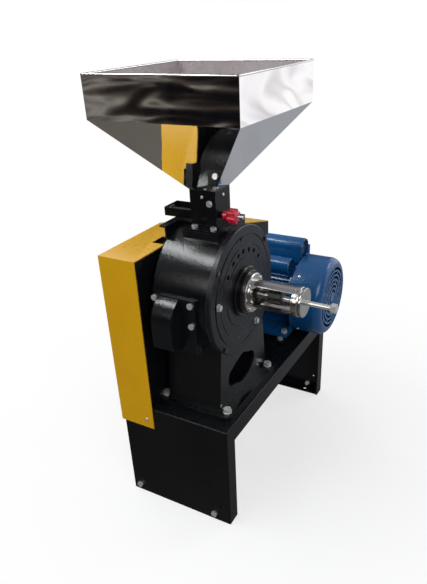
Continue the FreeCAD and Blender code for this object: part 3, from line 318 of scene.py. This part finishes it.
MATS = {}
# pale edge colour: painted highlight lines on the bench and throat-flange edges, with some rubbed edge wear
MATS["black_powder_coat"] = sheet_paint("black_powder_coat", (0.0030, 0.0034, 0.0044), (0.0052, 0.0057, 0.0068), (0.20, 0.32), peel=520, peel_s=0.08, edge_wear_and_highlight_c=(0.13, 0.14, 0.155), edge_wear_and_highlight_f=0.75, wave=0.08, dust=(0.12, 0.13, 0.14), dust_f=0.02)
MATS["black_powder_coat"].set(Specular_IOR_Level=0.19)
MATS["casting_black"] = cast_paint("casting_black", (0.0026, 0.0031, 0.0040), (0.0046, 0.0053, 0.0064), (0.11, 0.17), grain=210, grain_s=0.55, grain_d=0.0007, lump_s=0.06, coat=0.0, edge_wear_and_highlight_c=(0.045, 0.05, 0.055), edge_wear_and_highlight_f=0.4, spec=0.36)
MATS["cover_satin"] = cover_paint()
MATS["guard_yellow"] = sheet_paint("guard_yellow", (0.70, 0.375, 0.004), (0.645, 0.338, 0.003), (0.22, 0.34), peel=480, peel_s=0.05, edge_wear_and_highlight_c=(0.85, 0.66, 0.22), edge_wear_and_highlight_f=0.6, wave=0.05, dust=(0.6, 0.55, 0.4), dust_f=0.05, coat=0.0)
MATS["guard_yellow"].set(Specular_IOR_Level=0.30)
# light blue edge colour: painted highlights on the grille slot edges, with some rubbed edge wear
MATS["motor_blue"] = sheet_paint("motor_blue", (0.0040, 0.085, 0.250), (0.003, 0.064, 0.205), (0.20, 0.34), peel=380, peel_s=0.14, edge_wear_and_highlight_c=(0.16, 0.34, 0.60), edge_wear_and_highlight_f=0.7, wave=0.08, dust=(0.25, 0.3, 0.35), dust_f=0.04, coat=0.2)
MATS["motor_blue"].set(Specular_IOR_Level=0.45)
MATS["hem_stainless"] = metal("hem_stainless", (0.80, 0.79, 0.79), (0.66, 0.65, 0.65), (0.10, 0.20), brush=(1, 1, 0.04), brush_f=0.3, bump_s=0.01)
MATS["polished_stainless"] = metal("polished_stainless", (0.86, 0.845, 0.84), (0.78, 0.765, 0.76), (0.02, 0.055), brush=(1, 1, 0.04), brush_f=0.2, bump_s=0.006, wave=0.16, wave_scale=4.0)
inside_finish(MATS["polished_stainless"])
MATS["turned_stainless"] = metal("turned_stainless", (0.63, 0.615, 0.59), (0.42, 0.41, 0.385), (0.15, 0.27), brush=(1, 9, 1), brush_f=0.55, bump_s=0.05, aniso=0.25)
MATS["zinc_steel"] = metal("zinc_steel", (0.82, 0.82, 0.81), (0.56, 0.56, 0.55), (0.14, 0.28), brush=(3, 3, 3), brush_f=0.45, spot=(0.40, 0.36, 0.28), bump_s=0.06)
MATS["zinc_steel"].set(Metallic=0.72)
MATS["gate_rod_steel"] = metal("gate_rod_steel", (0.82, 0.82, 0.81), (0.56, 0.56, 0.55), (0.14, 0.28), brush=(3, 3, 3), brush_f=0.45, bump_s=0.06)
darker_behind_throat(MATS["gate_rod_steel"])
MATS["shaft_steel"] = metal("shaft_steel", (0.36, 0.36, 0.36), (0.22, 0.22, 0.22), (0.22, 0.36), brush=(1, 14, 1), brush_f=0.6, bump_s=0.08)
MATS["bearing_steel"] = metal("bearing_steel", (0.55, 0.55, 0.56), (0.40, 0.40, 0.41), (0.14, 0.26), brush=(1, 10, 1))
MATS["grinding_iron"] = metal("grinding_iron", (0.22, 0.22, 0.22), (0.12, 0.12, 0.12), (0.38, 0.60), brush=(4, 4, 4), bump_s=0.4, spot=(0.14, 0.09, 0.06))
MATS["grey_iron"] = metal("grey_iron", (0.24, 0.24, 0.25), (0.14, 0.14, 0.15), (0.34, 0.52), brush=(2, 8, 2), bump_s=0.2, spot=(0.13, 0.09, 0.06))
MATS["lamination"] = metal("lamination", (0.24, 0.24, 0.26), (0.13, 0.13, 0.14), (0.34, 0.5), brush=(0.2, 24, 0.2), brush_f=0.9, bump_s=0.25)
MATS["bronze"] = metal("bronze", (0.55, 0.36, 0.17), (0.35, 0.21, 0.09), (0.26, 0.42), brush=(3, 3, 3), bump_s=0.15)
MATS["copper_winding"] = metal("copper_winding", (0.60, 0.24, 0.09), (0.34, 0.11, 0.04), (0.28, 0.42), brush=(2, 20, 2), brush_f=0.8, bump_s=0.3)
MATS["black_oxide"] = sheet_paint("black_oxide", (0.007, 0.007, 0.0075), (0.012, 0.012, 0.012), (0.30, 0.48), peel=300, peel_s=0.12, edge_wear_and_highlight_c=(0.12, 0.12, 0.12), edge_wear_and_highlight_f=0.5, dust_f=0.01)
MATS["black_paint_fastener"] = cast_paint("black_paint_fastener", (0.006, 0.006, 0.0065), (0.010, 0.010, 0.011), (0.24, 0.38), grain_s=0.2, lump_s=0.1, coat=0.3, edge_wear_and_highlight_c=(0.14, 0.14, 0.14), edge_wear_and_highlight_f=0.5)
MATS["knob_red"] = sheet_paint("knob_red", (0.60, 0.008, 0.036), (0.50, 0.005, 0.026), (0.10, 0.20), peel=260, peel_s=0.05, edge_wear_and_highlight_c=(0.80, 0.08, 0.12), edge_wear_and_highlight_f=0.4, dust=(0.7, 0.4, 0.4), dust_f=0.04, coat=0.5)
MATS["belt_rubber"] = sheet_paint("belt_rubber", (0.010, 0.010, 0.010), (0.02, 0.02, 0.02), (0.55, 0.75), peel=700, peel_s=0.4, edge_wear_and_highlight_c=(0.05, 0.05, 0.05), edge_wear_and_highlight_f=0.4)
MATS["capacitor_can"] = sheet_paint("capacitor_can", (0.02, 0.02, 0.025), (0.03, 0.03, 0.035), (0.4, 0.55), peel=300, peel_s=0.1)
MATS["fan_plastic"] = sheet_paint("fan_plastic", (0.015, 0.015, 0.017), (0.025, 0.025, 0.027), (0.38, 0.52), peel=300, peel_s=0.1, dust_f=0.15)
MATS["gland_plastic"] = sheet_paint("gland_plastic", (0.015, 0.015, 0.017), (0.025, 0.025, 0.027), (0.36, 0.5), peel=300, peel_s=0.1)

slot_of = {s["node"]: s["material_slot"] for s in frame["record"]["subparts"]}
for name, o in N.items():
    mat = MATS["gate_rod_steel" if name == "gate_rod" else slot_of[name]].m
    o.data.materials.clear()
    o.data.materials.append(mat)


PLANAR = ("belt_guard", "bench_top", "leg_mill_end", "leg_motor_end", "throat_box", "guard_back_plate")


def finish_node(o, width, angle=38):
    """Welds the facets and rounds the sharp edges with modifiers; the mesh stays as it is."""
    w = o.modifiers.new("weld", "WELD")
    w.merge_threshold = 2e-5
    if o.name in PLANAR:
        d = o.modifiers.new("flat faces joined", "DECIMATE")
        d.decimate_type = "DISSOLVE"
        d.angle_limit = math.radians(0.4)
    if width:
        b = o.modifiers.new("round", "BEVEL")
        b.width = width
        b.segments = 2
        b.limit_method = "ANGLE"
        b.angle_limit = math.radians(angle)
        b.use_clamp_overlap = True
        b.harden_normals = False
        b.miter_outer = "MITER_ARC"
    smooth_by_angle(o, 40)


def smooth_by_angle(o, deg):
    """Smooth shading that keeps the edges sharper than the angle."""
    for p in o.data.polygons:
        p.use_smooth = True
    m = o.modifiers.new("smooth", "NODES")
    m.node_group = smooth_group(deg)
    wn_ = o.modifiers.new("flat faces", "WEIGHTED_NORMAL")
    wn_.mode = "FACE_AREA"
    wn_.weight = 100
    wn_.keep_sharp = True


_groups = {}


def smooth_group(deg):
    if deg in _groups:
        return _groups[deg]
    g = bpy.data.node_groups.new("smooth_%d" % deg, "GeometryNodeTree")
    g.interface.new_socket("Geometry", in_out="INPUT", socket_type="NodeSocketGeometry")
    g.interface.new_socket("Geometry", in_out="OUTPUT", socket_type="NodeSocketGeometry")
    gi, go = g.nodes.new("NodeGroupInput"), g.nodes.new("NodeGroupOutput")
    ea = g.nodes.new("GeometryNodeInputMeshEdgeAngle")
    cmp_ = g.nodes.new("FunctionNodeCompare")
    cmp_.data_type = "FLOAT"
    cmp_.operation = "LESS_EQUAL"
    cmp_.inputs[1].default_value = math.radians(deg)
    sf = g.nodes.new("GeometryNodeSetShadeSmooth")
    sf.domain = "FACE"
    se = g.nodes.new("GeometryNodeSetShadeSmooth")
    se.domain = "EDGE"
    g.links.new(gi.outputs[0], sf.inputs["Geometry"])
    sf.inputs["Shade Smooth"].default_value = True
    g.links.new(sf.outputs[0], se.inputs["Geometry"])
    g.links.new(ea.outputs["Unsigned Angle"], cmp_.inputs[0])
    g.links.new(cmp_.outputs[0], se.inputs["Shade Smooth"])
    g.links.new(se.outputs[0], go.inputs[0])
    _groups[deg] = g
    return g


ROUND = {
    "hopper": 0.0006, "throat_box": 0.0007, "bench_top": 0.0010, "leg_mill_end": 0.0010, "leg_motor_end": 0.0010,
    "belt_guard": 0.0008, "guard_back_plate": 0.0005, "casing_drum": 0.0022, "casing_foot": 0.0020, "front_cover": 0.0014,
    "side_hood": 0.0016, "adjuster_barrel": 0.0011, "adjuster_end_cap": 0.0012, "thrust_collar": 0.0008,
    "capacitor_cover_top": 0.0, "capacitor_cover_side": 0.0, "terminal_box": 0.0014, "fan_cover": 0.0006,
    "motor_frame": 0.0007, "gate_knob": 0.0016, "motor_rails": 0.0007, "gate_guide": 0.0005, "casing_bracket": 0.0007,
    "rear_bearing_housing": 0.0014, "v_belts": 0.0004, "mill_pulley": 0.0006, "motor_pulley": 0.0006,
}
for name, o in N.items():
    big = name in ROUND
    finish_node(o, ROUND[name] if big else 0.0004)

# ------------------------------------------------------------------ details
def tube(name, pts, r, mat, seg=10, closed=True):
    """A round bead along a closed or open run of points."""
    bm = bmesh.new()
    n = len(pts)
    rings = []
    for i, p in enumerate(pts):
        a = pts[(i - 1) % n] if closed or i else pts[0]
        b = pts[(i + 1) % n] if closed or i < n - 1 else pts[-1]
        t = (b - a).normalized()
        up = Vector((0, 0, 1)) if abs(t.z) < 0.9 else Vector((0, 1, 0))
        u = t.cross(up).normalized()
        v = u.cross(t).normalized()
        rings.append([bm.verts.new(p + u * r * math.cos(2 * math.pi * k / seg) + v * r * math.sin(2 * math.pi * k / seg)) for k in range(seg)])
    for i in range(n if closed else n - 1):
        A, B = rings[i], rings[(i + 1) % n]
        for k in range(seg):
            bm.faces.new((A[k], A[(k + 1) % seg], B[(k + 1) % seg], B[k]))
    if not closed:
        bm.faces.new(rings[0][::-1])
        bm.faces.new(rings[-1])
    bmesh.ops.recalc_face_normals(bm, faces=bm.faces)
    me = bpy.data.meshes.new(name)
    bm.to_mesh(me)
    bm.free()
    for p in me.polygons:
        p.use_smooth = True
    o = bpy.data.objects.new(name, me)
    bpy.context.scene.collection.objects.link(o)
    me.materials.append(mat)
    return o


def round_rect(cx, cy, hx, hy, z, rad, n=6):
    pts = []
    for qx, qy, a0 in ((1, 1, 0), (-1, 1, 90), (-1, -1, 180), (1, -1, 270)):
        for i in range(n + 1):
            a = math.radians(a0 + 90 * i / n)
            pts.append(R(cx + qx * (hx - rad) + rad * math.cos(a), cy + qy * (hy - rad) + rad * math.sin(a), z))
    return pts


def beads(name, a, b, r, mat, seed=1):
    """A weld bead: a run of overlapping drops."""
    n = max(6, int((b - a).length / (r * 0.9)))
    t = (b - a).normalized()
    pts = []
    for i in range(n * 3 + 1):
        pts.append(a.lerp(b, i / (n * 3)))
    o = tube(name, pts, r, mat, 8, False)
    for k, v in enumerate(o.data.vertices):
        i = (k // 8) % 3
        c = pts[min(k // 8, len(pts) - 1)]
        f = (0.86, 1.0, 0.94)[i] * (1 + 0.07 * math.sin(k // 8 * 2.7 + seed))
        v.co = c + (v.co - c) * f
    return o


hem = tube("hopper_hem", round_rect(HOP_X, HOP_Y, 168.0, 168.0, 1051.9, 3.0), 0.0020, MATS["hem_stainless"].m, 12)
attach(hem, "machine")

# ------------------------------------------------------------------ stage
def light_path_mix(nt, normal_out, glossy_out, fac_name="Is Glossy Ray"):
    lp = nt.nodes.new("ShaderNodeLightPath")
    mx = nt.nodes.new("ShaderNodeMixShader")
    nt.links.new(lp.outputs[fac_name], mx.inputs[0])
    nt.links.new(normal_out, mx.inputs[1])
    nt.links.new(glossy_out, mx.inputs[2])
    return mx.outputs[0]


def floor_mat():
    """Pale studio floor. In the mirror of the hopper it reads as a darker workshop floor."""
    k = Mat("floor_pale")
    n = k.noise(3.0, 2, 0.5)
    k.col(k.mix(k.rng(n, 0.3, 0.7, 0, 1), (0.90, 0.90, 0.905), (0.88, 0.88, 0.885)))
    k.rough(k.rng(n, 0.3, 0.7, 0.72, 0.80))
    k.set(Specular_IOR_Level=0.1)
    s = k.node("ShaderNodeSeparateXYZ")
    k.link(k.obj, s.inputs[0])
    # darker and browner to the left and behind, lighter in front
    side = k.math("SUBTRACT", k.math("MULTIPLY", s.outputs["Y"], 0.6), k.math("MULTIPLY", s.outputs["X"], 1.0))
    g = k.rng(side, -1.2, 1.4, 0, 1)
    blot = k.noise(2.2, 3, 0.6)
    g2 = k.math("ADD", g, k.rng(blot, 0.3, 0.7, -0.10, 0.10))
    c = k.ramp(g2, [(0.0, (0.40, 0.42, 0.45)), (0.35, (0.24, 0.24, 0.25)), (0.62, (0.165, 0.15, 0.13)), (1.0, (0.105, 0.098, 0.09))])
    e = k.node("ShaderNodeEmission")
    k.link(c, e.inputs["Color"])
    e.inputs["Strength"].default_value = 0.85
    # further away the floor fades to the white of the backdrop
    ln = k.node("ShaderNodeVectorMath", operation="LENGTH")
    k.link(k.obj, ln.inputs[0])
    far = k.rng(ln.outputs["Value"], 0.10, 1.15, 0.58, 1)
    w = k.node("ShaderNodeEmission")
    w.inputs["Color"].default_value = (1, 1, 1, 1)
    w.inputs["Strength"].default_value = 1.0
    mw = k.node("ShaderNodeMixShader")
    k.link(far, mw.inputs[0])
    k.link(k.b.outputs[0], mw.inputs[1])
    k.link(w.outputs[0], mw.inputs[2])
    dim = k.node("ShaderNodeEmission")
    dim.inputs["Color"].default_value = (0.16, 0.16, 0.165, 1)
    lp = k.node("ShaderNodeLightPath")
    md = k.node("ShaderNodeMixShader")
    k.link(lp.outputs["Is Diffuse Ray"], md.inputs[0])
    k.link(mw.outputs[0], md.inputs[1])
    k.link(dim.outputs[0], md.inputs[2])
    k.link(light_path_mix(k.nt, md.outputs[0], e.outputs[0]), k.out.inputs["Surface"])
    return k.m


def card_mat(name, stops, strength, scale=(1, 1, 1), dist=1.0, lean=0.0):
    """A reflector card, seen only in reflections."""
    k = Mat(name)
    n = k.noise(2.0, 1.5, 0.45, dist, src=k.mapping(scale=scale))
    if lean:
        s = k.node("ShaderNodeSeparateXYZ")
        k.link(k.obj, s.inputs[0])
        n = k.math("ADD", n, k.math("MULTIPLY", s.outputs["X"], lean))
    e = k.node("ShaderNodeEmission")
    k.link(k.ramp(n, stops), e.inputs["Color"])
    e.inputs["Strength"].default_value = strength
    k.link(e.outputs[0], k.out.inputs["Surface"])
    return k.m


def plane(name, size_x, size_y, matrix, mat):
    me = bpy.data.meshes.new(name)
    x, y = size_x / 2, size_y / 2
    me.from_pydata([(-x, -y, 0), (x, -y, 0), (x, y, 0), (-x, y, 0)], [], [(0, 1, 2, 3)])
    o = bpy.data.objects.new(name, me)
    bpy.context.scene.collection.objects.link(o)
    o.matrix_world = matrix
    me.materials.append(mat)
    return o


def card(name, loc, target, sx, sy, mat):
    q = (Vector(target) - Vector(loc)).to_track_quat("Z", "Y")
    o = plane(name, sx, sy, Matrix.Translation(loc) @ q.to_matrix().to_4x4(), mat)
    o.visible_camera = False
    o.visible_diffuse = False
    o.visible_shadow = False
    o.visible_transmission = False
    return o


plane("floor", 24, 24, Matrix.Translation((0, 0, -0.0005)), floor_mat())
card("card_dark", (-2.3, 1.6, 0.75), (-0.15, 0.1, 0.95), 4.6, 2.6, card_mat("card_dark", [(0.34, (0.004, 0.004, 0.005)), (0.44, (0.020, 0.016, 0.014)), (0.51, (0.085, 0.070, 0.060)), (0.56, (0.26, 0.245, 0.22)), (0.61, (0.07, 0.055, 0.047)), (0.72, (0.28, 0.27, 0.26))], 0.9, (0.55, 3.2, 1), 2.4, 0.28))
card("card_white", (2.7, -1.5, 0.85), (-0.15, 0.0, 0.95), 4.2, 2.6, card_mat("card_white", [(0.30, (0.58, 0.57, 0.60)), (0.44, (0.90, 0.90, 0.93)), (0.52, (1.0, 1.0, 1.0)), (0.60, (0.72, 0.70, 0.72)), (0.66, (1.0, 1.0, 1.0))], 1.15, (0.5, 0.9, 1), 3.0))


def area(name, loc, target, sx, sy, watts, color=(1, 1, 1)):
    d = bpy.data.lights.new(name, "AREA")
    d.shape = "RECTANGLE"
    d.size, d.size_y = sx, sy
    d.energy = watts
    d.color = color
    o = bpy.data.objects.new(name, d)
    bpy.context.scene.collection.objects.link(o)
    o.location = loc
    o.rotation_mode = "QUATERNION"
    o.rotation_quaternion = (Vector(target) - Vector(loc)).to_track_quat("-Z", "Y")
    o.visible_camera = False
    return o


area("key", (-0.74, 1.18, 2.46), (-0.10, 0.05, 0.7), 1.5, 0.30, 24, (0.95, 1.0, 0.99))
area("fill", (-1.9, -2.0, 2.2), (0, 0, 0.45), 1.6, 1.5, 30, (0.99, 0.995, 1.0))
area("right", (2.7, -1.9, 2.2), (0, 0, 0.5), 1.4, 1.2, 26, (0.97, 0.99, 1.0))
area("left", (-2.6, 0.9, 1.7), (-0.1, 0, 0.55), 0.9, 0.9, 10, (1.0, 0.98, 0.94))
area("back", (1.2, 2.6, 2.4), (0, 0, 0.6), 2.2, 1.2, 20)

world = bpy.data.worlds.new("studio")
bpy.context.scene.world = world
world.use_nodes = True
wn = world.node_tree
wn.nodes.clear()
wo = wn.nodes.new("ShaderNodeOutputWorld")
tcw = wn.nodes.new("ShaderNodeTexCoord")
sw = wn.nodes.new("ShaderNodeSeparateXYZ")
wn.links.new(tcw.outputs["Generated"], sw.inputs[0])
rw = wn.nodes.new("ShaderNodeValToRGB")
e_ = rw.color_ramp.elements
e_[0].position, e_[0].color = 0.0, (0.060, 0.068, 0.085, 1)
e_[1].position, e_[1].color = 1.0, (0.46, 0.45, 0.48, 1)
for p_, c_ in ((0.15, (0.085, 0.095, 0.115, 1)), (0.38, (0.20, 0.205, 0.23, 1)), (0.60, (0.42, 0.41, 0.44, 1))):
    x_ = e_.new(p_)
    x_.color = c_
wn.links.new(sw.outputs["Z"], rw.inputs["Fac"])
bg_plain = wn.nodes.new("ShaderNodeBackground")
bg_plain.inputs["Color"].default_value = (0.97, 0.98, 1.0, 1)
bg_plain.inputs["Strength"].default_value = 0.48
bg_gloss = wn.nodes.new("ShaderNodeBackground")
wn.links.new(rw.outputs["Color"], bg_gloss.inputs["Color"])
bg_gloss.inputs["Strength"].default_value = 0.9
bg_cam = wn.nodes.new("ShaderNodeBackground")
bg_cam.inputs["Color"].default_value = (1, 1, 1, 1)
bg_cam.inputs["Strength"].default_value = 1.0
m1 = light_path_mix(wn, bg_plain.outputs[0], bg_gloss.outputs[0])
m2 = light_path_mix(wn, m1, bg_cam.outputs[0], "Is Camera Ray")
wn.links.new(m2, wo.inputs["Surface"])
bpy.context.scene.view_settings.view_transform = "Standard"

# ------------------------------------------------------------------ camera
cam_d = bpy.data.cameras.new("camera")
cam = bpy.data.objects.new("camera", cam_d)
bpy.context.scene.collection.objects.link(cam)
bpy.context.scene.camera = cam
cam_d.sensor_fit = "AUTO"
cam_d.sensor_width = 36.0
cam_d.lens = 34.532
cam_d.shift_x = -0.0196
cam_d.shift_y = 0.0453
cam_d.clip_start = 0.05
cam_d.clip_end = 80.0
cam_d.dof.use_dof = False
cam.matrix_world = Matrix((
    (0.480044, 0.430122, -0.764560, -1.196509),
    (-0.876458, 0.198266, -0.438762, -0.569540),
    (-0.037135, 0.880730, 0.472160, 1.135198),
    (0.0, 0.0, 0.0, 1.0)))
